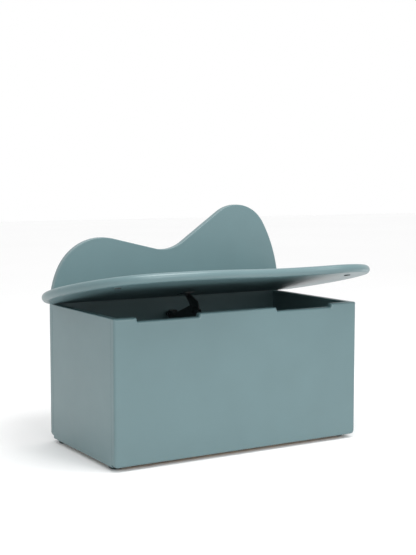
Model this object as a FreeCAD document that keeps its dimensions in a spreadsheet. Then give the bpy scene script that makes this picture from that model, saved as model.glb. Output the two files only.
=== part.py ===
"""Wooden toy box with a tall shaped back, a wide rounded lid and a sprung lid stay.

Millimetres. +X is the box's right as seen from the front, +Y is its rear, +Z is up.
The origin is on the floor, in the middle of the whole outline with the lid ajar.
"""
import FreeCAD, Part
import Sketcher
import math
import os

V = FreeCAD.Vector
LEFT, RIGHT = -1, 1

doc = FreeCAD.newDocument("toy_box")

# ---------------------------------------------------------------- driving dimensions

DIMENSIONS = {
    # carcass
    "box_width": 705, "box_depth": 377, "panel_height": 351, "board": 18,
    "rear_face": 223.5, "foot_height": 10,
    "corner_round": 6, "arris": 2, "seam_arris": 0.8,
    "front_bottom_corner": 10, "back_bottom_corner": 17,
    "notch_depth": 9, "notch_round": 3,
    "left_notch_start": -293, "left_notch_end": -121,
    "right_notch_start": 101, "right_notch_end": 274,
    "batten_width": 36, "batten_height": 18, "bottom_thickness": 9,
    "foot_top_radius": 18, "foot_base_radius": 15, "foot_screw_seat": 5,
    "foot_inset": 24, "front_foot_inset": 46, "rear_foot_inset": 34,
    "dowel_radius": 4, "dowel_length": 33, "dowel_in_face": 12, "dowel_in_end": 22,
    # lid and hinge axis
    "lid_thickness": 22, "lid_edge_round": 10.9, "lid_rest_gap": 0.8,
    "open_angle": 11.65, "axis_setback": 3.2,
    "bumper_radius": 8, "bumper_across": 334, "bumper_reach": 342.8, "bumper_height": 2.4,
    # butt hinges
    "hinge_spacing": 440, "leaf_length": 60, "leaf_thickness": 1.6, "leaf_height": 21,
    "leaf_relief": 3.6, "knuckle_radius": 3, "knuckle_gap": 0.3,
    "hinge_pin_radius": 1.5, "hinge_pin_head": 2.6,
    "hinge_screw_radius": 1.5, "hinge_screw_head": 3, "hinge_screw_length": 14,
    # lid stay
    "stay_x": -15, "base_pivot_forward": 19.5, "base_pivot_drop": 43.3,
    "pivot_reach": 104, "pivot_drop": 30,
    "eyelet_radius": 4.6, "eyelet_bore": 3, "eyelet_head": 8.2, "stay_pin_radius": 3, "stay_pin_head": 4.6,
    "pin_head_thickness": 1, "running_gap": 0.05, "open_pivot_gap": 0.3, "side_gap": 0.4,
    "housing_width": 10, "housing_plate": 1.5, "tip_radius": 9,
    "arm_thickness": 3, "arm_end_radius": 5.5, "bracket_plate": 2, "bracket_eye": 6, "base_eye": 8.5,
    "spring_width": 2.4,
    "stay_screw_radius": 1.75, "stay_screw_head": 3.4, "stay_screw_length": 13,
    "foot_screw_radius": 2, "foot_screw_head": 4.5, "foot_screw_length": 24,
    "hole_gap": 0.05,
}


def make_sheet():
    sheet = doc.addObject("Spreadsheet::Sheet", "Dims")
    for row, (alias, value) in enumerate(DIMENSIONS.items(), start=1):
        sheet.set(f"A{row}", alias)
        sheet.set(f"B{row}", str(value))
        sheet.setAlias(f"B{row}", alias)
    doc.recompute()
    return sheet


make_sheet()


class Sizes:
    """The sheet's values as plain numbers, for points that a sketch's arcs run through."""

    def __getattr__(self, alias):
        return float(doc.Dims.get(alias))


size = Sizes()

# ---------------------------------------------------------------- expressions used often

HALF_WIDTH = "Dims.box_width / 2"
FRONT_FACE = "Dims.rear_face - Dims.box_depth"
BACK_INNER = "Dims.rear_face - Dims.board"
AXIS_Y = "Dims.rear_face - Dims.board - Dims.axis_setback"
AXIS_Z = "Dims.foot_height + Dims.panel_height + Dims.lid_rest_gap + Dims.lid_thickness"
OPEN_SINE = "sin(Dims.open_angle * 1 deg)"
OPEN_COSINE = "cos(Dims.open_angle * 1 deg)"
# the stay's two turning links share one vector, from the hinge axis to the lid pivot
LINK_Y = f"-Dims.pivot_reach * {OPEN_COSINE} - Dims.pivot_drop * {OPEN_SINE}"
LINK_Z = f"Dims.pivot_reach * {OPEN_SINE} - Dims.pivot_drop * {OPEN_COSINE}"
BASE_PIVOT_Y = "Dims.rear_face - Dims.board - Dims.base_pivot_forward"
BASE_PIVOT_Z = "Dims.foot_height + Dims.panel_height - Dims.base_pivot_drop"


# ---------------------------------------------------------------- helpers

def bind(item, **expressions):
    for prop, expression in expressions.items():
        item.setExpression(prop, str(expression))
    return item


def place(item, base):
    for letter, expression in zip("xyz", base):
        item.setExpression(f"Placement.Base.{letter}", str(expression))
    return item


def tilt_with_lid(item, base=(0, AXIS_Y, AXIS_Z)):
    """Turn an item with the lid, whose front edge rises about an axis along -X."""
    item.Placement = FreeCAD.Placement(V(0, 0, 0), FreeCAD.Rotation(V(-1, 0, 0), size.open_angle))
    place(item, base)
    item.setExpression("Placement.Rotation.Angle", "Dims.open_angle")
    return item


def add(kind, name):
    return doc.addObject(kind, name)


def box(name, lengths, corner):
    item = add("Part::Box", name)
    bind(item, Length=lengths[0], Width=lengths[1], Height=lengths[2])
    return place(item, corner)


TURNS = {
    "x": FreeCAD.Rotation(V(0, 1, 0), 90),
    "y": FreeCAD.Rotation(V(1, 0, 0), -90),
    "-y": FreeCAD.Rotation(V(1, 0, 0), 90),
    "z": FreeCAD.Rotation(),
    "-z": FreeCAD.Rotation(V(1, 0, 0), 180),
}


def rod(name, radius, length, start, along="z"):
    item = add("Part::Cylinder", name)
    bind(item, Radius=radius, Height=length)
    item.Placement = FreeCAD.Placement(V(0, 0, 0), TURNS[along])
    return place(item, start)


def cone(name, start_radius, end_radius, length, start, along="z"):
    item = add("Part::Cone", name)
    bind(item, Radius1=start_radius, Radius2=end_radius, Height=length)
    item.Placement = FreeCAD.Placement(V(0, 0, 0), TURNS[along])
    return place(item, start)


def fuse(name, items):
    item = add("Part::MultiFuse", name)
    item.Shapes = items
    item.Refine = True
    return item


def cut(name, base, tools):
    item = add("Part::Cut", name)
    item.Base = base
    item.Tool = tools[0] if len(tools) == 1 else fuse(name + "_cuts", tools)
    item.Refine = True
    return item


def group(name, items):
    item = add("Part::Compound", name)
    item.Links = items
    return item


def plane_of(body, role):
    return next(feature for feature in body.Origin.OriginFeatures if feature.Role == role)


def sketch_on(body, name, role, offset=0):
    sketch = body.newObject("Sketcher::SketchObject", name)
    sketch.AttachmentSupport = [(plane_of(body, role), "")]
    sketch.MapMode = "FlatFace"
    sketch.setExpression("AttachmentOffset.Base.z", str(offset))
    return sketch


def draw_loop(sketch, edges):
    """Add edges that follow one another, each joined to the next."""
    indices = [sketch.addGeometry(edge, False) for edge in edges]
    for here, there in zip(indices, indices[1:] + indices[:1]):
        pairs = [(one, other) for one in (1, 2) for other in (1, 2)]
        one, other = min(pairs, key=lambda pair: sketch.getPoint(here, pair[0]).distanceToPoint(
            sketch.getPoint(there, pair[1])))
        sketch.addConstraint(Sketcher.Constraint("Coincident", here, one, there, other))
    return sketch


def pad(body, sketch, length, reverse=False):
    feature = body.newObject("PartDesign::Pad", sketch.Name + "_pad")
    feature.Profile = sketch
    feature.Reversed = reverse
    feature.setExpression("Length", str(length))
    sketch.Visibility = False
    return feature


def drill(body, name, role, offset, centres, radius, depth, reverse):
    """Blind round holes, checked to take wood away."""
    doc.recompute()
    before = body.Shape.Volume
    sketch = sketch_on(body, name, role, offset)
    for centre in centres:
        hole = sketch.addGeometry(Part.Circle(V(*centre, 0), V(0, 0, 1), size.dowel_radius), False)
        ring = sketch.addConstraint(Sketcher.Constraint("Radius", hole, size.dowel_radius))
        sketch.setExpression(f"Constraints[{ring}]", radius)
    pocket = body.newObject("PartDesign::Pocket", name + "_pocket")
    pocket.Profile = sketch
    pocket.Reversed = reverse
    pocket.setExpression("Length", str(depth))
    doc.recompute()
    if body.Shape.Volume > before - 1:
        raise RuntimeError(f"{name} takes no wood away")
    return pocket


def round_edges(body, name, radius, wanted):
    """Round each edge of the body's last feature for which wanted(edge) is true."""
    doc.recompute()
    base = body.Tip
    names = [f"Edge{i}" for i, edge in enumerate(base.Shape.Edges, start=1) if wanted(edge)]
    if not names:
        raise RuntimeError(f"{name} finds no edges")
    feature = body.newObject("PartDesign::Fillet", name)
    feature.Base = (base, names)
    feature.setExpression("Radius", radius)
    return feature


def lies_in(edge, axis, value):
    """True when the whole edge is in the plane where the axis letter has that value."""
    box_of_edge = edge.BoundBox
    low = getattr(box_of_edge, axis.upper() + "Min")
    high = getattr(box_of_edge, axis.upper() + "Max")
    return abs(low - value) < 0.01 and abs(high - value) < 0.01


def line(start, end):
    return Part.LineSegment(V(*start, 0), V(*end, 0))


def arc_through(start, middle, end):
    return Part.Arc(V(*start, 0), V(*middle, 0), V(*end, 0))


def walk(start, heading, moves):
    """A smooth path: each move is a straight length, or an arc's radius and left turn in degrees."""
    point, edges = start, []
    angle = math.radians(heading)
    for move in moves:
        if len(move) == 1:
            end = (point[0] + move[0] * math.cos(angle), point[1] + move[0] * math.sin(angle))
            edges.append(line(point, end))
        else:
            radius, turn = move[0], math.radians(move[1])
            side = 1 if turn > 0 else -1
            centre = (point[0] - side * radius * math.sin(angle), point[1] + side * radius * math.cos(angle))
            middle, end = (
                (centre[0] + side * radius * math.sin(angle + part),
                 centre[1] - side * radius * math.cos(angle + part))
                for part in (turn / 2, turn)
            )
            edges.append(arc_through(point, middle, end))
            angle += turn
        point = end
    return edges, point


def rounded_polygon(corners):
    """A closed outline from (x, y, radius) corners."""
    edges, cuts = [], []
    count = len(corners)
    for i, (x, y, radius) in enumerate(corners):
        here = V(x, y, 0)
        back = (V(*corners[i - 1][:2], 0) - here).normalize()
        ahead = (V(*corners[(i + 1) % count][:2], 0) - here).normalize()
        half = back.getAngle(ahead) / 2
        reach = radius / math.tan(half)
        bisector = (back + ahead).normalize()
        middle = here + bisector * (radius / math.sin(half) - radius)
        cuts.append((here + back * reach, middle, here + ahead * reach))
    for i, (arrive, middle, leave) in enumerate(cuts):
        if not arrive.isEqual(leave, 1e-6):
            edges.append(Part.Arc(arrive, middle, leave))
        following = cuts[(i + 1) % count][0]
        if not leave.isEqual(following, 1e-6):
            edges.append(Part.LineSegment(leave, following))
    return edges


# ---------------------------------------------------------------- carcass

DOWEL_HEIGHTS = (55, 175, 295)


def dowel_x(side):
    return side * (size.box_width - size.board) / 2


def front_panel():
    body = add("PartDesign::Body", "front_panel")
    half, top = size.box_width / 2, size.panel_height
    low, corner, bend = top - size.notch_depth, size.front_bottom_corner, size.notch_round
    outline = [(-half, 0, corner), (half, 0, corner), (half, top, size.arris)]
    for start, end in (
        (size.right_notch_start, size.right_notch_end),
        (size.left_notch_start, size.left_notch_end),
    ):
        outline += [(end, top, 2), (end - bend, low, 2), (start + bend, low, 2), (start, top, 2)]
    outline.append((-half, top, size.arris))
    sketch = draw_loop(sketch_on(body, "front_outline", "XZ_Plane"), rounded_polygon(outline))
    pad(body, sketch, "Dims.board")
    centres = [(dowel_x(side), height) for side in (LEFT, RIGHT) for height in DOWEL_HEIGHTS]
    drill(body, "front_dowel_holes", "XZ_Plane", 0, centres,
          "Dims.dowel_radius + Dims.hole_gap", "Dims.dowel_in_face + Dims.hole_gap", True)
    round_edges(body, "front_corners", "Dims.corner_round",
                lambda edge: lies_in(edge, "y", -size.board) and edge.BoundBox.ZMax < top - 1)
    round_edges(body, "front_seams", "Dims.seam_arris",
                lambda edge: lies_in(edge, "y", 0)
                and (lies_in(edge, "x", -half) or lies_in(edge, "x", half)))
    place(body, (0, f"{FRONT_FACE} + Dims.board", "Dims.foot_height"))
    return body


def back_panel():
    """One board: the box's back below, and above it a low hump and a tall one."""
    body = add("PartDesign::Body", "back_panel")
    half, top, corner = size.box_width / 2, size.panel_height, size.back_bottom_corner
    low_hump = [(222, -25.2), (136, -78.4)]
    slope = [(129.7,)]
    valley = [(106, 48.6)]
    start = (-half, top - 4.6)
    rise_heading = 90 - 25.2 - 78.4 + 48.6
    tall_hump = [(103, -94.3), (390, -(rise_heading + 90 - 94.3))]
    # the straight rise takes up whatever width the curves leave
    _, end_without_rise = walk(start, 90, low_hump + slope + valley + tall_hump)
    rise = (half - end_without_rise[0]) / math.cos(math.radians(rise_heading))
    crest, shoulder = walk(start, 90, low_hump + slope + valley + [(rise,)] + tall_hump)
    skirt = [
        line(shoulder, (half, corner)),
        *walk((half, corner), -90, [(corner, -90)])[0],
        line((half - corner, 0), (corner - half, 0)),
        *walk((corner - half, 0), 180, [(corner, -90)])[0],
        line((-half, corner), start),
    ]
    sketch = draw_loop(sketch_on(body, "back_outline", "XZ_Plane"), crest + skirt)
    pad(body, sketch, "Dims.board")
    centres = [(dowel_x(side), height) for side in (LEFT, RIGHT) for height in DOWEL_HEIGHTS]
    drill(body, "back_dowel_holes", "XZ_Plane", "Dims.board", centres,
          "Dims.dowel_radius + Dims.hole_gap", "Dims.dowel_in_face + Dims.hole_gap", False)
    axis_height = top + size.lid_rest_gap + size.lid_thickness
    screws = [(x, axis_height + z) for x, z in hinge_screw_places()]
    drill(body, "back_hinge_holes", "XZ_Plane", "Dims.board", screws,
          "Dims.hinge_screw_radius + Dims.hole_gap", "Dims.hinge_screw_length - 1", False)
    stay = [(size.stay_x + x, top - size.base_pivot_drop + z) for x, z in BASE_SCREWS]
    drill(body, "back_stay_holes", "XZ_Plane", "Dims.board", stay,
          "Dims.stay_screw_radius + Dims.hole_gap", "Dims.stay_screw_length - 1", False)
    round_edges(body, "back_arris", "Dims.arris",
                lambda edge: (lies_in(edge, "y", 0) or lies_in(edge, "y", -size.board))
                and not is_small_hole(edge))
    place(body, (0, "Dims.rear_face", "Dims.foot_height"))
    return body


def is_small_hole(edge):
    return edge.isClosed() and edge.BoundBox.DiagonalLength < 20


def side_panel(name, side):
    body = add("PartDesign::Body", name)
    depth, top = size.box_depth - 2 * size.board, size.panel_height
    corners = [(0, 0, 0), (depth, 0, 0), (depth, top, 0), (0, top, 0)]
    edges = [line(a[:2], b[:2]) for a, b in zip(corners, corners[1:] + corners[:1])]
    sketch = draw_loop(sketch_on(body, name + "_outline", "YZ_Plane"), edges)
    pad(body, sketch, "Dims.board")
    centres = [(size.board / 2, height) for height in DOWEL_HEIGHTS]
    radius, deep = "Dims.dowel_radius + Dims.hole_gap", "Dims.dowel_in_end + Dims.hole_gap"
    drill(body, name + "_front_holes", "XZ_Plane", 0, centres, radius, deep, False)
    rear = "-(Dims.box_depth - 2 * Dims.board)"
    drill(body, name + "_rear_holes", "XZ_Plane", rear, centres, radius, deep, True)
    outer = 0 if side == LEFT else size.board
    round_edges(body, name + "_top_arris", "Dims.arris", lambda edge: lies_in(edge, "z", top)
                and edge.Length > 100)
    round_edges(body, name + "_bottom_arris", "Dims.arris",
                lambda edge: lies_in(edge, "z", 0) and lies_in(edge, "x", outer))
    round_edges(body, name + "_seams", "Dims.seam_arris",
                lambda edge: lies_in(edge, "x", outer)
                and (lies_in(edge, "y", 0) or lies_in(edge, "y", depth)))
    left_edge = f"-({HALF_WIDTH})" if side == LEFT else f"{HALF_WIDTH} - Dims.board"
    place(body, (left_edge, f"{FRONT_FACE} + Dims.board", "Dims.foot_height"))
    return body


def dowels():
    """Three glued dowels at each of the four upright joints."""
    pegs = []
    for side in (LEFT, RIGHT):
        for number, height in enumerate(DOWEL_HEIGHTS):
            across = f"{side} * (Dims.box_width - Dims.board) / 2"
            level = f"Dims.foot_height + {height}"
            front = f"{FRONT_FACE} + Dims.board - Dims.dowel_in_face"
            rear = f"{BACK_INNER} + Dims.dowel_in_face"
            where = f"{'left' if side == LEFT else 'right'}_{number}"
            sizes = ("Dims.dowel_radius", "Dims.dowel_length")
            pegs.append(rod(f"dowel_front_{where}", *sizes, (across, front, level), "y"))
            pegs.append(rod(f"dowel_rear_{where}", *sizes, (across, rear, level), "-y"))
    return group("panel_dowels", pegs)


def foot_places():
    """Each foot's name with its x and y as expressions."""
    across = f"({HALF_WIDTH} - Dims.foot_inset)"
    front = f"{FRONT_FACE} + Dims.front_foot_inset"
    rear = "Dims.rear_face - Dims.rear_foot_inset"
    return {
        "front_left": (f"-{across}", front),
        "front_right": (across, front),
        "rear_left": (f"-{across}", rear),
        "rear_right": (across, rear),
    }


def batten(name, lengths, corner, screw_names):
    plain = box(name + "_blank", lengths, corner)
    if not screw_names:
        plain.Label = name
        return plain
    holes = [
        rod(f"{name}_{foot}_hole", "Dims.foot_screw_radius + Dims.hole_gap", "Dims.batten_height",
            (*foot_places()[foot], "Dims.foot_height"))
        for foot in screw_names
    ]
    return cut(name, plain, holes)


def battens():
    """A frame of four rails inside the foot of the box, which carries the bottom."""
    inner_left = f"-({HALF_WIDTH} - Dims.board)"
    inner_width = "Dims.box_width - 2 * Dims.board"
    inner_front = f"{FRONT_FACE} + Dims.board"
    side_length = "Dims.box_depth - 2 * Dims.board - 2 * Dims.batten_width"
    rail = ("Dims.batten_width", side_length, "Dims.batten_height")
    side_front = f"{inner_front} + Dims.batten_width"
    return [
        batten("batten_front", (inner_width, "Dims.batten_width", "Dims.batten_height"),
               (inner_left, inner_front, "Dims.foot_height"), ("front_left", "front_right")),
        batten("batten_rear", (inner_width, "Dims.batten_width", "Dims.batten_height"),
               (inner_left, f"{BACK_INNER} - Dims.batten_width", "Dims.foot_height"),
               ("rear_left", "rear_right")),
        batten("batten_left", rail, (inner_left, side_front, "Dims.foot_height"), ()),
        batten("batten_right", rail,
               (f"{HALF_WIDTH} - Dims.board - Dims.batten_width", side_front, "Dims.foot_height"), ()),
    ]


def bottom_panel():
    return box("bottom_panel",
               ("Dims.box_width - 2 * Dims.board", "Dims.box_depth - 2 * Dims.board",
                "Dims.bottom_thickness"),
               (f"-({HALF_WIDTH} - Dims.board)", f"{FRONT_FACE} + Dims.board",
                "Dims.foot_height + Dims.batten_height"))


def feet():
    """Four tapered feet, each with a screw in a deep recess."""
    nodes, screws = [], []
    recess = "Dims.foot_screw_seat"
    head_thickness = 2.5
    for where, (x, y) in foot_places().items():
        blank = cone(f"foot_{where}_blank", "Dims.foot_base_radius", "Dims.foot_top_radius",
                     "Dims.foot_height", (x, y, 0))
        bore = rod(f"foot_{where}_bore", "Dims.foot_screw_radius + Dims.hole_gap", "Dims.foot_height",
                   (x, y, 0))
        sink = rod(f"foot_{where}_sink", "Dims.foot_screw_head + 1", recess, (x, y, 0))
        nodes.append(cut(f"foot_{where}", blank, [bore, sink]))
        head = rod(f"foot_screw_{where}_head", "Dims.foot_screw_head", head_thickness,
                   (x, y, f"{recess} - {head_thickness}"))
        shank = rod(f"foot_screw_{where}_shank", "Dims.foot_screw_radius",
                    f"Dims.foot_screw_length - {recess}", (x, y, f"{recess} - 1"))
        screws.append(fuse(f"foot_screw_{where}", [head, shank]))
    return nodes + [group("foot_screws", screws)]


# ---------------------------------------------------------------- lid

def lid():
    """A wavy slab wider than the box: a broad bulge at the left of its front, a smaller one at the right."""
    body = add("PartDesign::Body", "lid")
    rear = -size.axis_setback
    start, heading, right_radius = (-373.5, 0), 126.8, 370
    moves = [(306, -69), (169, -51), (689, -20.8), (561, 27.2), (156, -19.8), (146, -64.8)]
    path, shoulder = walk(start, heading, moves)
    # the last arc runs on until it meets the rear face again
    heading += sum(turn for _, turn in moves)
    drop = shoulder[1] - right_radius * math.cos(math.radians(heading))
    turn = math.degrees(math.asin(-drop / right_radius)) - 90 - heading
    last, end = walk(shoulder, heading, [(right_radius, turn)])
    outline = [turned_to_front(edge, rear) for edge in path + last]
    outline.append(line((end[0], rear), (start[0], rear)))
    sketch = draw_loop(sketch_on(body, "lid_outline", "XY_Plane"), outline)
    pad(body, sketch, "Dims.lid_thickness", True)
    drill(body, "lid_hinge_holes", "XZ_Plane", "Dims.axis_setback", hinge_screw_places(),
          "Dims.hinge_screw_radius + Dims.hole_gap", "Dims.hinge_screw_length - 1", True)
    stay = [(size.stay_x + x, y) for x, y in LID_BRACKET_SCREWS]
    drill(body, "lid_stay_holes", "XY_Plane", "-Dims.lid_thickness", stay,
          "Dims.stay_screw_radius + Dims.hole_gap", "Dims.stay_screw_length - 1", True)
    round_edges(body, "lid_bullnose", "Dims.lid_edge_round",
                lambda edge: (lies_in(edge, "z", 0) or lies_in(edge, "z", -size.lid_thickness))
                and not lies_in(edge, "y", rear) and not is_small_hole(edge))
    return tilt_with_lid(body)


def turned_to_front(edge, rear):
    """Redraw an arc whose front is upwards with its front towards -Y."""
    first, last = edge.FirstParameter, edge.LastParameter
    points = [edge.value(parameter) for parameter in (first, (first + last) / 2, last)]
    return Part.Arc(*(V(point.x, rear - point.y, 0) for point in points))


def bumpers():
    """Two soft discs under the lid's front corners, which meet the box's front when the lid is shut."""
    return [
        tilt_with_lid(group(name, [
            rod(f"{name}_disc", "Dims.bumper_radius", "Dims.bumper_height",
                (f"{side} * Dims.bumper_across", "-Dims.bumper_reach",
                 "-Dims.lid_thickness - Dims.bumper_height"))
        ]))
        for name, side in (("bumper_left", LEFT), ("bumper_right", RIGHT))
    ]


# ---------------------------------------------------------------- butt hinges, about the lid's axis

KNUCKLES = 5
HINGE_SCREW_ACROSS = 20
HINGE_SCREW_LEVELS = (-8, -16)


def hinge_screw_places():
    """Screw places as x and height from the hinge axis, for both hinges."""
    return [
        (side * size.hinge_spacing / 2 + across * HINGE_SCREW_ACROSS, level)
        for side in (LEFT, RIGHT) for across in (LEFT, RIGHT) for level in HINGE_SCREW_LEVELS
    ]


def hinge_leaf(name, side, towards, own_knuckles):
    """A leaf whose sheet hangs below the axis on the rear side (+1) or the lid's side (-1) of it."""
    centre = f"{side} * Dims.hinge_spacing / 2"
    step = f"Dims.leaf_length / {KNUCKLES}"
    near = "Dims.axis_setback - Dims.leaf_thickness" if towards > 0 else "-Dims.axis_setback"
    left_end = f"{centre} - Dims.leaf_length / 2"
    solids = [box(f"{name}_sheet", ("Dims.leaf_length", "Dims.leaf_thickness",
                                    "Dims.leaf_height - Dims.leaf_relief"),
                  (left_end, near, "-Dims.leaf_height"))]
    bores = []
    for number in own_knuckles:
        start = f"{left_end} + {number} * {step} + Dims.knuckle_gap / 2"
        length = f"{step} - Dims.knuckle_gap"
        solids.append(box(f"{name}_tab_{number}", (length, "Dims.leaf_thickness", "Dims.leaf_relief"),
                          (start, near, "-Dims.leaf_relief")))
        solids.append(rod(f"{name}_knuckle_{number}", "Dims.knuckle_radius", length, (start, 0, 0), "x"))
    bores.append(rod(f"{name}_bore", "Dims.hinge_pin_radius + Dims.running_gap", "Dims.leaf_length",
                     (left_end, 0, 0), "x"))
    inward = "y" if towards > 0 else "-y"
    face = f"{towards} * (Dims.axis_setback - Dims.leaf_thickness)"
    for number, (x, level) in enumerate(hinge_screw_places()):
        if x * side > 0:
            bores.append(countersink(f"{name}_hole_{number}", "hinge", "Dims.leaf_thickness",
                                     (x, face, level), inward))
    return cut(name, fuse(f"{name}_blank", solids), bores)


def countersink(name, kind, depth, start, along):
    """A hole for a flat-head screw of that kind, a little larger than the screw."""
    radius = f"Dims.{kind}_screw_radius + Dims.hole_gap"
    head = f"Dims.{kind}_screw_head + Dims.hole_gap"
    seat_depth = f"Dims.{kind}_screw_head - Dims.{kind}_screw_radius"
    seat = cone(f"{name}_seat", head, radius, seat_depth, start, along)
    return fuse(name, [seat, rod(f"{name}_through", radius, depth, start, along)])


def flat_head_screw(name, kind, start, along):
    """A flat-head wood screw with its head flush at the start point."""
    radius, head = f"Dims.{kind}_screw_radius", f"Dims.{kind}_screw_head"
    seat = cone(f"{name}_head", head, radius, f"{head} - {radius}", start, along)
    return fuse(name, [seat, rod(f"{name}_shank", radius, f"Dims.{kind}_screw_length", start, along)])


def headed_pin(name, radius, head, start, length, bore=None):
    """A pin along +X whose two heads stand just outside the stated span."""
    thickness = "Dims.pin_head_thickness"
    middle = rod(f"{name}_shank", radius, length, start, "x")
    heads = [
        rod(f"{name}_head_{number}", head, thickness, (f"{start[0]} + ({offset})", *start[1:]), "x")
        for number, offset in enumerate((f"-{thickness}", length))
    ]
    solid = fuse(name if bore is None else f"{name}_blank", [middle, *heads])
    if bore is None:
        return solid
    drilled = rod(f"{name}_bore", bore, f"{length} + 2 * {thickness}",
                  (f"{start[0]} - {thickness}", *start[1:]), "x")
    return cut(name, solid, [drilled])


def hinges():
    """Two five-knuckle butt hinges in the gap between the lid and the tall back."""
    at_axis = (0, AXIS_Y, AXIS_Z)
    nodes = []
    for word, side in (("left", LEFT), ("right", RIGHT)):
        nodes.append(place(hinge_leaf(f"hinge_{word}_case_leaf", side, 1, (0, 2, 4)), at_axis))
        nodes.append(tilt_with_lid(hinge_leaf(f"hinge_{word}_lid_leaf", side, -1, (1, 3))))
        start = (f"{side} * Dims.hinge_spacing / 2 - Dims.leaf_length / 2", 0, 0)
        nodes.append(place(headed_pin(f"hinge_{word}_pin", "Dims.hinge_pin_radius", "Dims.hinge_pin_head",
                                      start, "Dims.leaf_length"), at_axis))
    face = "(Dims.axis_setback - Dims.leaf_thickness)"
    case_screws = [flat_head_screw(f"hinge_case_screw_{n}", "hinge", (x, face, level), "y")
                   for n, (x, level) in enumerate(hinge_screw_places())]
    lid_screws = [flat_head_screw(f"hinge_lid_screw_{n}", "hinge", (x, f"-{face}", level), "-y")
                  for n, (x, level) in enumerate(hinge_screw_places())]
    nodes.append(place(group("hinge_case_screws", case_screws), at_axis))
    nodes.append(tilt_with_lid(group("hinge_lid_screws", lid_screws)))
    return nodes


# ---------------------------------------------------------------- lid stay

BASE_SCREWS = [(x, z) for x in (12.5, 24.5) for z in (-31, -2)]
LID_BRACKET_SCREWS = [(x, y) for x in (-7.2, 10) for y in (-79, -111)]
BASE_AT = ("Dims.stay_x", BASE_PIVOT_Y, BASE_PIVOT_Z)
ARM_X = "Dims.housing_width / 2 - Dims.housing_plate - Dims.side_gap - Dims.arm_thickness"


def stay_base():
    """An angle bracket: a rounded plate on the back's inner face and one ear beside the housing."""
    ear_x = "Dims.housing_width / 2 + Dims.side_gap"
    left, right, bottom, top, corner = size.housing_width / 2 + size.side_gap, 31.4, -38, 8, 6
    outline = [(left, bottom, corner), (right, bottom, corner), (right, top, corner), (left, top, 0)]
    plate = plate_body("stay_base_plate", rounded_polygon(outline), "Dims.bracket_plate",
                       "-Dims.base_pivot_forward", "XZ_Plane")
    ear = box("stay_base_ear", ("Dims.bracket_plate", "Dims.base_pivot_forward", "2 * Dims.base_eye"),
              (ear_x, 0, "-Dims.base_eye"))
    eye = rod("stay_base_eye", "Dims.base_eye", "Dims.bracket_plate", (ear_x, 0, 0), "x")
    bore = rod("stay_base_bore", "Dims.eyelet_radius + Dims.running_gap", "Dims.bracket_plate + 1",
               (f"{ear_x} - 0.5", 0, 0), "x")
    face = "Dims.base_pivot_forward - Dims.bracket_plate"
    holes = [countersink(f"stay_base_hole_{n}", "stay", "Dims.bracket_plate", (x, face, z), "y")
             for n, (x, z) in enumerate(BASE_SCREWS)]
    bracket = place(cut("stay_base", fuse("stay_base_blank", [ear, eye, plate]), [bore, *holes]), BASE_AT)
    screws = [flat_head_screw(f"stay_base_screw_{n}", "stay", (x, face, z), "y")
              for n, (x, z) in enumerate(BASE_SCREWS)]
    span = "Dims.housing_width + Dims.side_gap + Dims.bracket_plate + 0.2"
    eyelet = headed_pin("stay_eyelet", "Dims.eyelet_radius", "Dims.eyelet_head",
                        ("-Dims.housing_width / 2 - 0.1", 0, 0), span, "Dims.eyelet_bore")
    return [bracket, place(group("stay_base_screws", screws), BASE_AT), place(eyelet, BASE_AT)]


def link_angle():
    """How far the link from the base pivot to the elbow points below -Y, in degrees, lid shut."""
    return math.degrees(math.atan2(size.pivot_drop, size.pivot_reach))


def plate_body(name, edges, thickness, offset, plane="YZ_Plane"):
    """A flat part from a closed outline in one of the upright planes."""
    body = add("PartDesign::Body", name)
    sketch = draw_loop(sketch_on(body, f"{name}_outline", plane, offset), edges)
    pad(body, sketch, thickness)
    return body


def along_link(along, above, radius=0):
    """A corner given along and above the line from base pivot to elbow, as y, z and radius."""
    angle = math.radians(link_angle())
    return (
        -along * math.cos(angle) - above * math.sin(angle),
        -along * math.sin(angle) + above * math.cos(angle),
        radius,
    )


def stay_housing():
    """A folded channel: a round eye at the base, a neck, and a wedge that widens round the spring."""
    tip = size.tip_radius
    outline = [(-tip, -tip, tip), (-tip, tip, tip), (6, tip, 6), (35.5, 3.7, 0), (35.5, 9.6, 1.5),
               (106, 40.5, 10), (150, 39.5, 12), (166, 14, 12), (172, -29, 8), (106, -34, 12),
               (35.5, -6, 8), (6, -tip, 6)]
    blank = plate_body("stay_housing_blank", rounded_polygon([along_link(*corner) for corner in outline]),
                       "Dims.housing_width", "-Dims.housing_width / 2")
    # open above and at the far end, where the arm swings out
    channel = [(44, -7, 0), (106, -31.5, 8), (140, -31, 6), (144, -21, 4), (180, -21, 0), (180, 75, 0),
               (44, 75, 0)]
    hollow = plate_body("stay_housing_channel", rounded_polygon([along_link(*corner) for corner in channel]),
                        "Dims.housing_width - 2 * Dims.housing_plate",
                        "-Dims.housing_width / 2 + Dims.housing_plate")
    through = ("Dims.housing_width + 2", "-Dims.housing_width / 2 - 1")
    bores = [
        rod("stay_housing_eye", "Dims.eyelet_radius + Dims.running_gap", through[0], (through[1], 0, 0), "x"),
        rod("stay_housing_elbow", "Dims.stay_pin_radius + Dims.running_gap", through[0],
            (through[1], "-Dims.pivot_reach", "-Dims.pivot_drop"), "x"),
    ]
    slots = []
    slanted = [(-4.6, 6, 0.8), (-2.2, 7, 0.8), (4.6, -6, 0.8), (2.2, -7, 0.8)]
    for number, (along, above) in enumerate(((117, 31), (128.7, 33))):
        corners = [along_link(along + a, above + b, radius) for a, b, radius in slanted]
        slots.append(plate_body(f"stay_housing_slot_{number}", rounded_polygon(corners),
                                "Dims.housing_plate + 1", "-Dims.housing_width / 2 - 0.5"))
    return tilt_with_lid(cut("stay_housing", blank, [hollow, *bores, *slots]), BASE_AT)


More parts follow.
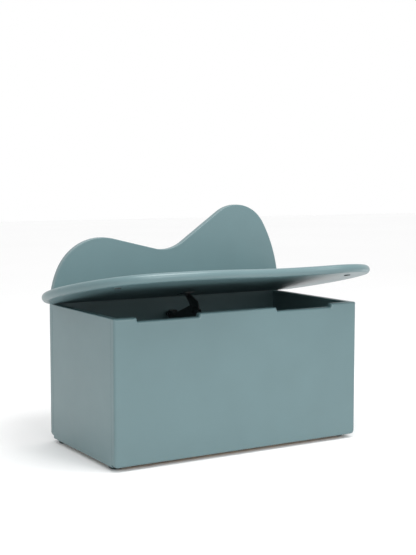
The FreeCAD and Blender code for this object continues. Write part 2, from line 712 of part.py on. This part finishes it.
def stay_spring():
    """A flat strip wound as a spiral about the elbow pin, beside the housing's near plate."""
    turns, strip, inner_radius, outer_radius, steps = 4, 0.9, 5, 29, 16

    def spiral(extra):
        points = []
        for i in range(turns * steps + 1):
            angle = 2 * math.pi * i / steps
            radius = inner_radius + (outer_radius - inner_radius) * i / (turns * steps) + extra
            points.append(V(0, radius * math.cos(angle), radius * math.sin(angle)))
        curve = Part.BSplineCurve()
        curve.interpolate(points)
        return curve.toShape(), points

    inside, inside_points = spiral(0)
    outside, outside_points = spiral(strip)
    ends = [Part.makeLine(inside_points[i], outside_points[i]) for i in (0, -1)]
    face = Part.Face(Part.Wire(Part.__sortEdges__([inside, outside, *ends])))
    spring = add("Part::Feature", "stay_spring")
    spring.Shape = face.extrude(V(size.spring_width, 0, 0))
    near = "Dims.stay_x - Dims.housing_width / 2 + Dims.housing_plate + 0.3"
    return place(spring, (near, f"{BASE_PIVOT_Y} + {LINK_Y}", f"{BASE_PIVOT_Z} + {LINK_Z}"))


def stay_arm():
    """The bent upper link. It keeps its direction while the lid turns, so it is drawn upright."""
    pivot_y = size.base_pivot_forward - size.axis_setback
    pivot_z = size.lid_rest_gap + size.lid_thickness + size.base_pivot_drop
    end = size.arm_end_radius
    outline = rounded_polygon([
        (8, -8, 7.5), (5, 44, 10), (pivot_y + end, pivot_z - 6, 6), (pivot_y + end, pivot_z + end, end),
        (pivot_y - 6, pivot_z + end, 5), (-33, 56, 12), (-43, 38, 10), (-9, -8, 7.5),
    ])
    blank = plate_body("stay_arm_blank", outline, "Dims.arm_thickness", ARM_X)
    through = ("Dims.arm_thickness + 2", f"{ARM_X} - 1")
    bores = [
        rod("stay_arm_elbow_bore", "Dims.stay_pin_radius + Dims.open_pivot_gap", through[0],
            (through[1], 0, 0), "x"),
        rod("stay_arm_lid_bore", "Dims.stay_pin_radius + Dims.running_gap", through[0],
            (through[1], "Dims.base_pivot_forward - Dims.axis_setback",
             "Dims.lid_rest_gap + Dims.lid_thickness + Dims.base_pivot_drop"), "x"),
    ]
    return place(cut("stay_arm", blank, bores),
                 ("Dims.stay_x", f"{BASE_PIVOT_Y} + {LINK_Y}", f"{BASE_PIVOT_Z} + {LINK_Z}"))


def stay_elbow_pin():
    """The elbow's pin, fixed in the housing and free in the arm."""
    pin = headed_pin("stay_elbow_pin", "Dims.stay_pin_radius", "Dims.stay_pin_head",
                     ("-Dims.housing_width / 2 - 0.1", "-Dims.pivot_reach", "-Dims.pivot_drop"),
                     "Dims.housing_width + 0.2")
    return tilt_with_lid(pin, BASE_AT)


def stay_lid_bracket():
    """A plate under the lid with two ears, which hold the arm's upper pin."""
    under = "-Dims.lid_thickness - Dims.bracket_plate"
    plate_size = (27, 48, "Dims.bracket_plate")
    plate = box("stay_lid_plate", plate_size, ("Dims.stay_x - 12", "-Dims.pivot_reach - 13", under))
    ears, eyes = [], []
    ear_starts = (f"Dims.stay_x + {ARM_X} - Dims.side_gap - Dims.bracket_plate",
                  f"Dims.stay_x + {ARM_X} + Dims.arm_thickness + Dims.side_gap")
    for number, ear_x in enumerate(ear_starts):
        ears.append(box(f"stay_lid_ear_{number}",
                        ("Dims.bracket_plate", "2 * Dims.bracket_eye",
                         "Dims.pivot_drop - Dims.lid_thickness - Dims.bracket_plate"),
                        (ear_x, "-Dims.pivot_reach - Dims.bracket_eye", "-Dims.pivot_drop")))
        eyes.append(rod(f"stay_lid_eye_{number}", "Dims.bracket_eye", "Dims.bracket_plate",
                        (ear_x, "-Dims.pivot_reach", "-Dims.pivot_drop"), "x"))
    bore = rod("stay_lid_bore", "Dims.stay_pin_radius + Dims.running_gap", 20,
               ("Dims.stay_x - 10", "-Dims.pivot_reach", "-Dims.pivot_drop"), "x")
    holes = [countersink(f"stay_lid_hole_{n}", "stay", "Dims.bracket_plate",
                         (f"Dims.stay_x + {x}", y, under), "z")
             for n, (x, y) in enumerate(LID_BRACKET_SCREWS)]
    bracket = cut("stay_lid_bracket", fuse("stay_lid_blank", [plate, *ears, *eyes]), [bore, *holes])
    screws = [flat_head_screw(f"stay_lid_screw_{n}", "stay", (f"Dims.stay_x + {x}", y, under), "z")
              for n, (x, y) in enumerate(LID_BRACKET_SCREWS)]
    pin = headed_pin("stay_lid_pin", "Dims.stay_pin_radius", "Dims.stay_pin_head",
                     (f"{ear_starts[0]} - 0.1", "-Dims.pivot_reach", "-Dims.pivot_drop"),
                     "Dims.arm_thickness + 2 * Dims.side_gap + 2 * Dims.bracket_plate + 0.2")
    return [tilt_with_lid(bracket), tilt_with_lid(group("stay_lid_screws", screws)), tilt_with_lid(pin)]


# ---------------------------------------------------------------- build, check and write

def build():
    nodes = [front_panel(), back_panel(), side_panel("side_panel_left", LEFT),
             side_panel("side_panel_right", RIGHT), bottom_panel(), *battens(), dowels(), *feet()]
    nodes += [lid(), *bumpers(), *hinges()]
    nodes += [*stay_base(), stay_housing(), stay_spring(), stay_elbow_pin(), stay_arm(), *stay_lid_bracket()]
    return nodes


def check(nodes):
    doc.recompute()
    failed = [item.Name for item in doc.Objects if {"Invalid", "Error"} & set(item.State)]
    bad = [node.Label for node in nodes if node.Shape.isNull() or not node.Shape.isValid()]
    if failed or bad:
        raise RuntimeError(f"failed: {failed}, bad shapes: {bad}")


def write(nodes):
    os.makedirs("parts", exist_ok=True)
    for node in nodes:
        node.Shape.exportStep(f"parts/{node.Label}.step")
        limits = node.Shape.BoundBox
        print(f"{node.Label:24s} {node.Shape.Volume / 1000:9.2f} cm3  "
              f"x {limits.XMin:.1f}..{limits.XMax:.1f}  y {limits.YMin:.1f}..{limits.YMax:.1f}  "
              f"z {limits.ZMin:.1f}..{limits.ZMax:.1f}")


parts = build()
check(parts)
write(parts)
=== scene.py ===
"""Looks for the wooden toy box: lacquer, wood, metal and rubber, moulded pads and feet, light and camera.

Metres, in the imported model's frame: +X right, +Y rear, +Z up, floor at z = 0.
"""

import math

import bpy
from mathutils import Matrix, Vector


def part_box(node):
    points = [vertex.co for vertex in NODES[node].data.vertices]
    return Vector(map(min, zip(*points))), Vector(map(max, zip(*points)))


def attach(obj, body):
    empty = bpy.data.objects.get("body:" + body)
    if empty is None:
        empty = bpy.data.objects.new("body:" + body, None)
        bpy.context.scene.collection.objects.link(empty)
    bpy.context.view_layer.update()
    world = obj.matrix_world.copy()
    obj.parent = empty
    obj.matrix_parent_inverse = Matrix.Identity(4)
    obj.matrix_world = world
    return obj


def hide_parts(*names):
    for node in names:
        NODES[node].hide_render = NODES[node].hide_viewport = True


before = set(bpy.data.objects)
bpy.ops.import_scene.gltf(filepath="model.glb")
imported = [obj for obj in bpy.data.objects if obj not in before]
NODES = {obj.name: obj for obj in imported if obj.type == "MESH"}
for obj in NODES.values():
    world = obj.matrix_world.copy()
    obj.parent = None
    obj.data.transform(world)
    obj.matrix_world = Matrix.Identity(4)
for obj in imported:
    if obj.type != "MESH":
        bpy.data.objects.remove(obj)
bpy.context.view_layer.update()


# ---------------------------------------------------------------- node material helpers

class Surface:
    """A principled material with short calls for the nodes that vary it."""

    def __init__(self, name, metallic=0.0, coat=0.0, coat_roughness=0.2, ior=1.5):
        self.material = bpy.data.materials.new(name)
        self.material.use_nodes = True
        self.tree = self.material.node_tree
        self.shader = self.tree.nodes["Principled BSDF"]
        self.shader.inputs["Metallic"].default_value = metallic
        self.shader.inputs["Coat Weight"].default_value = coat
        self.shader.inputs["Coat Roughness"].default_value = coat_roughness
        self.shader.inputs["IOR"].default_value = ior

    def node(self, kind, **values):
        node = self.tree.nodes.new(kind)
        for key, value in values.items():
            if key in node.inputs:
                node.inputs[key].default_value = value
            else:
                setattr(node, key, value)
        return node

    def link(self, output, target):
        self.tree.links.new(output, target)

    def position(self, stretch=(1, 1, 1)):
        """Object coordinates in metres, stretched along each axis."""
        where = self.node("ShaderNodeTexCoord")
        mapping = self.node("ShaderNodeMapping")
        mapping.inputs["Scale"].default_value = stretch
        self.link(where.outputs["Object"], mapping.inputs["Vector"])
        return mapping.outputs["Vector"]

    def noise(self, scale, detail=3.0, roughness=0.5, stretch=(1, 1, 1)):
        node = self.node("ShaderNodeTexNoise", Scale=scale, Detail=detail, Roughness=roughness)
        self.link(self.position(stretch), node.inputs["Vector"])
        return node.outputs["Fac"]

    def spread(self, factor, low, high, start=0.0, end=1.0):
        """Turn a 0 to 1 pattern into a range of numbers."""
        node = self.node("ShaderNodeMapRange")
        for key, value in (("From Min", start), ("From Max", end), ("To Min", low), ("To Max", high)):
            node.inputs[key].default_value = value
        self.link(factor, node.inputs["Value"])
        return node.outputs["Result"]

    def ramp(self, factor, stops):
        node = self.node("ShaderNodeValToRGB")
        elements = node.color_ramp.elements
        while len(elements) < len(stops):
            elements.new(0.5)
        for element, (place, colour) in zip(elements, stops):
            element.position = place
            element.color = (*colour, 1.0)
        self.link(factor, node.inputs["Fac"])
        return node.outputs["Color"]

    def colour(self, output):
        self.link(output, self.shader.inputs["Base Color"])

    def roughness(self, output):
        self.link(output, self.shader.inputs["Roughness"])

    def bump(self, heights, distance, strength=1.0):
        node = self.node("ShaderNodeBump", Strength=strength, Distance=distance)
        self.link(heights, node.inputs["Height"])
        self.link(node.outputs["Normal"], self.shader.inputs["Normal"])


def shade(colour, amount):
    """The same hue, lighter or darker by that factor."""
    return tuple(channel * amount for channel in colour)


# ---------------------------------------------------------------- materials

TEAL = (0.092, 0.161, 0.173)


def teal_lacquer():
    """Sprayed satin lacquer: faint orange peel, slight mottling in colour and gloss."""
    surface = Surface("teal_lacquer", coat=0.1, coat_roughness=0.25, ior=1.6)
    mottle = surface.noise(9.0, detail=4.0)
    surface.colour(surface.ramp(mottle, [(0.3, shade(TEAL, 0.965)), (0.7, shade(TEAL, 1.035))]))
    surface.roughness(surface.spread(surface.noise(30.0), 0.34, 0.42))
    surface.bump(surface.noise(420.0, detail=2.0), distance=0.00012, strength=0.35)
    return surface.material


def bare_wood(name, stretch):
    """Planed softwood with its grain along the axis that is stretched least."""
    surface = Surface(name)
    grain = surface.noise(14.0, detail=8.0, roughness=0.62, stretch=stretch)
    tones = [(0.32, (0.36, 0.22, 0.11)), (0.5, (0.55, 0.38, 0.21)), (0.7, (0.66, 0.49, 0.30))]
    surface.colour(surface.ramp(grain, tones))
    surface.roughness(surface.spread(grain, 0.62, 0.78))
    surface.bump(grain, distance=0.0004, strength=0.4)
    return surface.material


def black_enamel():
    """Stove-enamelled pressed steel."""
    surface = Surface("black_enamel", coat=0.3, coat_roughness=0.25)
    cloud = surface.noise(60.0, detail=3.0)
    surface.colour(surface.ramp(cloud, [(0.3, (0.010, 0.014, 0.015)), (0.75, (0.022, 0.030, 0.032))]))
    surface.roughness(surface.spread(surface.noise(240.0), 0.28, 0.42))
    surface.bump(surface.noise(900.0, detail=1.0), distance=0.00005, strength=0.4)
    return surface.material


def zinc_steel(name, tone, stretch):
    """Zinc-plated steel, finely brushed along one axis."""
    surface = Surface(name, metallic=1.0)
    brush = surface.noise(300.0, detail=4.0, stretch=stretch)
    surface.colour(surface.ramp(brush, [(0.3, shade(tone, 0.86)), (0.7, shade(tone, 1.06))]))
    surface.roughness(surface.spread(brush, 0.27, 0.44))
    surface.bump(brush, distance=0.00003, strength=0.5)
    return surface.material


def foot_rubber():
    """Dark moulded rubber with a fine sandy skin."""
    surface = Surface("foot_rubber")
    speck = surface.noise(700.0, detail=2.0)
    surface.colour(surface.ramp(speck, [(0.3, (0.016, 0.026, 0.027)), (0.7, (0.032, 0.046, 0.047))]))
    surface.roughness(surface.spread(speck, 0.55, 0.75))
    surface.bump(speck, distance=0.0001, strength=0.5)
    return surface.material


def bumper_rubber():
    """Smooth dark rubber with a soft sheen."""
    surface = Surface("bumper_rubber", coat=0.2, coat_roughness=0.3)
    cloud = surface.noise(260.0)
    surface.colour(surface.ramp(cloud, [(0.3, (0.020, 0.032, 0.034)), (0.7, (0.034, 0.050, 0.052))]))
    surface.roughness(surface.spread(cloud, 0.35, 0.5))
    surface.bump(surface.noise(900.0), distance=0.00004, strength=0.4)
    return surface.material


def paint(material, *names):
    """Give CAD nodes a finished material in place of their plain one."""
    for name in names:
        mesh = NODES[name].data
        mesh.materials.clear()
        mesh.materials.append(material)


def dress_cad_nodes():
    lacquer = teal_lacquer()
    paint(lacquer, "front_panel", "back_panel", "side_panel_left", "side_panel_right", "bottom_panel", "lid")
    paint(bare_wood("rail_wood_across", (0.12, 1, 1)), "batten_front", "batten_rear")
    paint(bare_wood("rail_wood_along", (1, 0.12, 1)), "batten_left", "batten_right", "panel_dowels")
    paint(black_enamel(), "stay_base", "stay_housing", "stay_arm", "stay_lid_bracket", "stay_eyelet",
          "stay_elbow_pin", "stay_lid_pin", "stay_base_screws", "stay_lid_screws")
    paint(zinc_steel("hinge_zinc", (0.62, 0.63, 0.62), (0.1, 1, 1)),
          *(name for name in NODES if name.startswith("hinge_")), "foot_screws")
    paint(zinc_steel("spring_steel", (0.50, 0.56, 0.57), (1, 1, 1)), "stay_spring")


# ---------------------------------------------------------------- moulded pieces

REST_OPENING = math.radians(11.65)
SHARP_EDGE = math.radians(35)
ROUND_STEPS = 64
RIM_STEPS = 6


def rounded_rim(radius, height, rim):
    """Radius and height along a quarter-round rim, from the wall to the flat end."""
    return [
        (radius - rim + rim * math.cos(turn), height - rim + rim * math.sin(turn))
        for turn in (math.pi / 2 * step / RIM_STEPS for step in range(RIM_STEPS + 1))
    ]


def turned(name, profile, matrix, material, hollow=False):
    """A solid of revolution about its own Z axis, closed by flat ends or, when hollow, by joining them."""
    corners, faces = [], []
    for radius, height in profile:
        for step in range(ROUND_STEPS):
            angle = 2 * math.pi * step / ROUND_STEPS
            corners.append(matrix @ Vector((radius * math.cos(angle), radius * math.sin(angle), height)))
    for ring in range(len(profile) if hollow else len(profile) - 1):
        for step in range(ROUND_STEPS):
            after = (step + 1) % ROUND_STEPS
            low, high = ring * ROUND_STEPS, (ring + 1) % len(profile) * ROUND_STEPS
            faces.append((low + step, low + after, high + after, high + step))
    if not hollow:
        last = (len(profile) - 1) * ROUND_STEPS
        faces.append(tuple(reversed(range(ROUND_STEPS))))
        faces.append(tuple(range(last, last + ROUND_STEPS)))
    mesh = bpy.data.meshes.new(name)
    mesh.from_pydata(corners, [], faces)
    mesh.materials.append(material)
    for polygon in mesh.polygons:
        polygon.use_smooth = True
    mesh.set_sharp_from_angle(angle=SHARP_EDGE)
    piece = bpy.data.objects.new(name, mesh)
    bpy.context.scene.collection.objects.link(piece)
    return piece


def soft_bumpers():
    """Low round pads with a domed face, square to the lid's underside."""
    material = bumper_rubber()
    slack = 0.00002
    radius, height, rim = 0.008 - slack, 0.0024, 0.0014
    flat = 0.0032
    facing = Matrix.Rotation(-REST_OPENING, 4, "X") @ Matrix.Rotation(math.pi, 4, "X")
    for side in ("left", "right"):
        low, high = (Vector(corner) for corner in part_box(f"bumper_{side}"))
        middle = Matrix.Translation((low + high) / 2) @ facing
        dome = rounded_rim(radius, height / 2, rim)
        profile = [(radius, slack - height / 2), *dome, (flat, height / 2)]
        piece = turned(f"{side}_bumper_pad", profile, middle, material)
        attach(piece, "lid")
        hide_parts(f"bumper_{side}")


def moulded_feet():
    """Tapered rubber feet with a rounded tread, open in the middle for the screw."""
    material = foot_rubber()
    rim, taper = 0.002, 0.003
    bore, seat, screw_hole = 0.0055, 0.005, 0.00205
    bevel, land = 0.0006, 0.0005
    for end in ("front_left", "front_right", "rear_left", "rear_right"):
        low, high = (Vector(corner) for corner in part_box(f"foot_{end}"))
        top_radius, height = (high.x - low.x) / 2, high.z - low.z
        middle = Matrix.Translation(((low.x + high.x) / 2, (low.y + high.y) / 2, low.z))
        tread = [(radius, height - level) for radius, level in rounded_rim(top_radius - taper, height, rim)]
        flank = [(top_radius, height - land), (top_radius - bevel, height)]
        well = [(screw_hole, height), (screw_hole, seat), (bore, seat), (bore, bevel), (bore + bevel, 0)]
        piece = turned(f"{end}_foot", [*well, *reversed(tread), *flank], middle, material, hollow=True)
        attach(piece, "case")
        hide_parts(f"foot_{end}")


# ---------------------------------------------------------------- floor, light and camera

def floor():
    """A wide, plain white floor."""
    half = 14.0
    corners = [(-half, -half, 0), (half, -half, 0), (half, half, 0), (-half, half, 0)]
    mesh = bpy.data.meshes.new("floor")
    mesh.from_pydata(corners, [], [(0, 1, 2, 3)])
    plane = bpy.data.objects.new("floor", mesh)
    bpy.context.scene.collection.objects.link(plane)
    surface = Surface("floor_paint")
    tones = [(0.3, (0.955, 0.955, 0.955)), (0.7, (0.97, 0.97, 0.97))]
    surface.colour(surface.ramp(surface.noise(0.6), tones))
    surface.roughness(surface.spread(surface.noise(2.0), 0.8, 0.9))
    mesh.materials.append(surface.material)


def area_light(name, place, target, power, width, height):
    """A soft rectangular panel of that power in watts, facing the target."""
    data = bpy.data.lights.new(name, "AREA")
    data.shape = "RECTANGLE"
    data.size, data.size_y = width, height
    data.energy = power
    lamp = bpy.data.objects.new(name, data)
    lamp.location = place
    lamp.rotation_euler = (Vector(target) - Vector(place)).to_track_quat("-Z", "Y").to_euler()
    bpy.context.scene.collection.objects.link(lamp)


def studio():
    """A white room: its glow lights the box, and three soft panels shape it."""
    world = bpy.data.worlds.new("studio")
    bpy.context.scene.world = world
    world.use_nodes = True
    background = world.node_tree.nodes["Background"]
    background.inputs["Color"].default_value = (1.0, 1.0, 1.0, 1.0)
    background.inputs["Strength"].default_value = 1.0
    aim = (0.0, 0.0, 0.3)
    area_light("key", (0.3, -3.8, 2.0), aim, 56.0, 2.2, 1.4)
    area_light("backrest_glow", (0.05, -0.5, 1.5), (0.05, 0.2, 0.5), 12.0, 1.0, 0.4)
    area_light("low_right", (1.19, -0.1, 0.012), (1.0, -0.1, 0.6), 1.5, 0.08, 0.8)


def camera():
    """The view from the front left, a little above the lid."""
    data = bpy.data.cameras.new("camera")
    data.sensor_fit = "AUTO"
    data.sensor_width = 36.0
    data.lens = 71.75
    eye = bpy.data.objects.new("camera", data)
    eye.location = (-1.465, -2.425, 0.6855)
    yaw, pitch = math.radians(30.994), math.radians(-5.159)
    look = Vector((math.sin(yaw) * math.cos(pitch), math.cos(yaw) * math.cos(pitch), math.sin(pitch)))
    eye.rotation_euler = look.to_track_quat("-Z", "Y").to_euler()
    bpy.context.scene.collection.objects.link(eye)
    bpy.context.scene.camera = eye


camera()
studio()
floor()
dress_cad_nodes()
soft_bumpers()
moulded_feet()
bpy.context.scene.view_settings.view_transform = "Standard"
